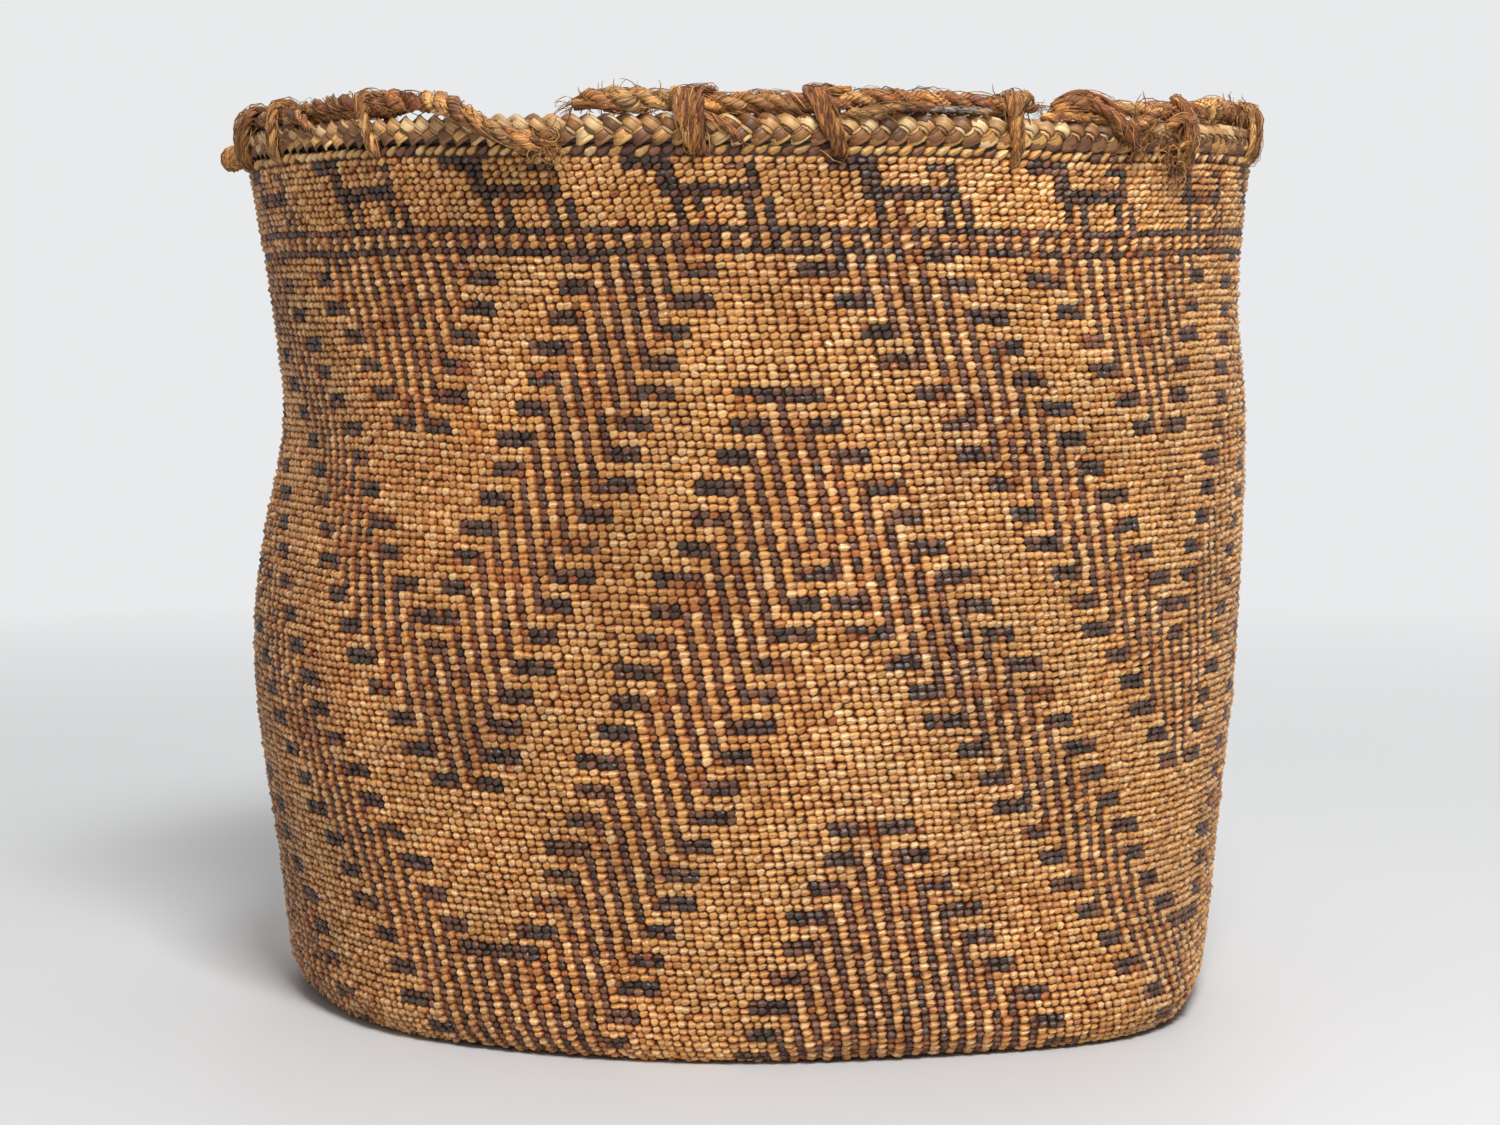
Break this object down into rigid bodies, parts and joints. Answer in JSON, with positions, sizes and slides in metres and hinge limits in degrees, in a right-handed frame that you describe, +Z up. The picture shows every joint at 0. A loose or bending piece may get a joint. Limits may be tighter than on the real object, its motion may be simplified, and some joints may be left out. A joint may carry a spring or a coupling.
{
  "type": "storage basket",
  "caption": "Soft round twined storage basket with a braided rim, a geometric pattern and a laced bark cord held by ties round its edge.",
  "frame": {"origin": "centre of the flat underside of the base, on the surface that the basket stands on", "axes": "+Z up, out of the open mouth; -Y towards the side seen in the picture; +X to that side's right"},
  "size_m": [0.3312, 0.3325, 0.2878],
  "materials": {
    "base": "twined straw, semi-matt",
    "wall": "twined straw with dark brown stitches, slightly glossy",
    "rim_row": "twined straw, slightly glossy",
    "braid_pale": "dry leaf strip, satin",
    "braid_brown": "dry leaf strip, satin",
    "braid_gold": "dry leaf strip, satin",
    "cord": "twisted bark fibre, matt",
    "cord_tie": "twisted bark fibre, matt",
    "grey_cord": "dusty fibre, matt"
  },
  "bodies": {
    "root": {"base": "base", "wall": "wall", "rim_row": "rim_row", "braid_strand_1": "braid_pale", "braid_strand_2": "braid_brown", "braid_strand_3": "braid_gold", "lacing_cord_left": "cord", "lacing_cord_front": "cord", "lacing_cord_right": "cord", "lacing_cord_rear_right": "cord", "lacing_cord_rear": "cord", "lacing_cord_rear_left": "cord", "thin_grey_cord": "grey_cord", "cord_tie_01": "cord_tie", "cord_tie_02": "cord_tie", "cord_tie_03": "cord_tie", "cord_tie_04": "cord_tie", "cord_tie_05": "cord_tie", "cord_tie_06": "cord_tie", "cord_tie_07": "cord_tie", "cord_tie_08": "cord_tie", "cord_tie_09": "cord_tie", "cord_tie_10": "cord_tie", "cord_tie_11": "cord_tie", "cord_tie_12": "cord_tie", "cord_tie_13": "cord_tie", "cord_tie_14": "cord_tie", "cord_tie_15": "cord_tie", "cord_tie_16": "cord_tie", "cord_tie_17": "cord_tie", "cord_tie_18": "cord_tie"}
  },
  "joints": []
}
